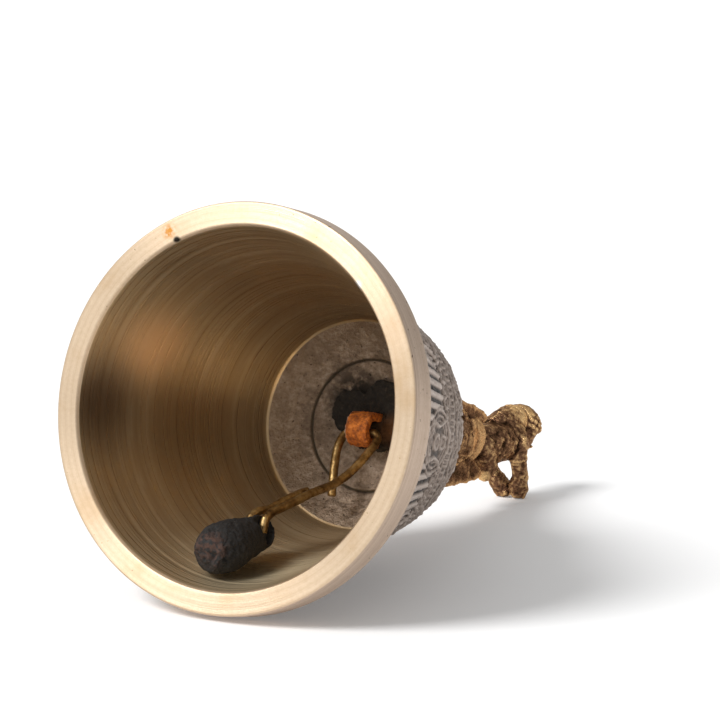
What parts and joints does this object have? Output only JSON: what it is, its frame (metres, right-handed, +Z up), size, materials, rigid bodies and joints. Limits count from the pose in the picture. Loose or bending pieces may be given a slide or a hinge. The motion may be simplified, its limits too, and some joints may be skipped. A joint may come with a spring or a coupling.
{
  "type": "tibetan hand bell",
  "caption": "Hand bell lying on its side: cast bell with a turned mouth, openwork handle with a small seated figure, and an iron clapper on a bent wire hooked in a staple.",
  "frame": {"origin": "on the table, under the middle of the bell's box, with the bell lying on its side", "axes": "+Y from the mouth towards the handle along the table, +Z up, +X to the right seen from the mouth"},
  "size_m": [0.09, 0.1598, 0.0893],
  "materials": {
    "bell_metal": "turned lip and inner wall, cast outside with a dark patina",
    "handle_bronze": "cast, dark brown with rubbed golden edges",
    "figure_bronze": "cast, dark brown with rubbed golden edges",
    "staple_iron": "rusted wrought iron",
    "solder": "sooty soft solder",
    "wire_brass": "dull drawn brass",
    "clapper_iron": "rough black cast iron"
  },
  "bodies": {
    "bell": {"bell_body": "bell_metal", "handle_foot": "handle_bronze", "handle_figure": "figure_bronze", "clapper_staple": "staple_iron", "crown_solder": "solder"},
    "wire": {"clapper_wire": "wire_brass"},
    "clapper": {"clapper": "clapper_iron"}
  },
  "joints": [
    {"name": "wire_swing", "type": "hinge", "parent": "bell", "child": "wire", "pos_m": [0.0006, -0.012, 0.03061], "axis": [-1, 0, 0], "range_deg": [0, 56]},
    {"name": "clapper_swing", "type": "hinge", "parent": "wire", "child": "clapper", "pos_m": [-0.0041, -0.0531, 0.01356], "axis": [-1, 0, 0], "range_deg": [0, 34]}
  ]
}
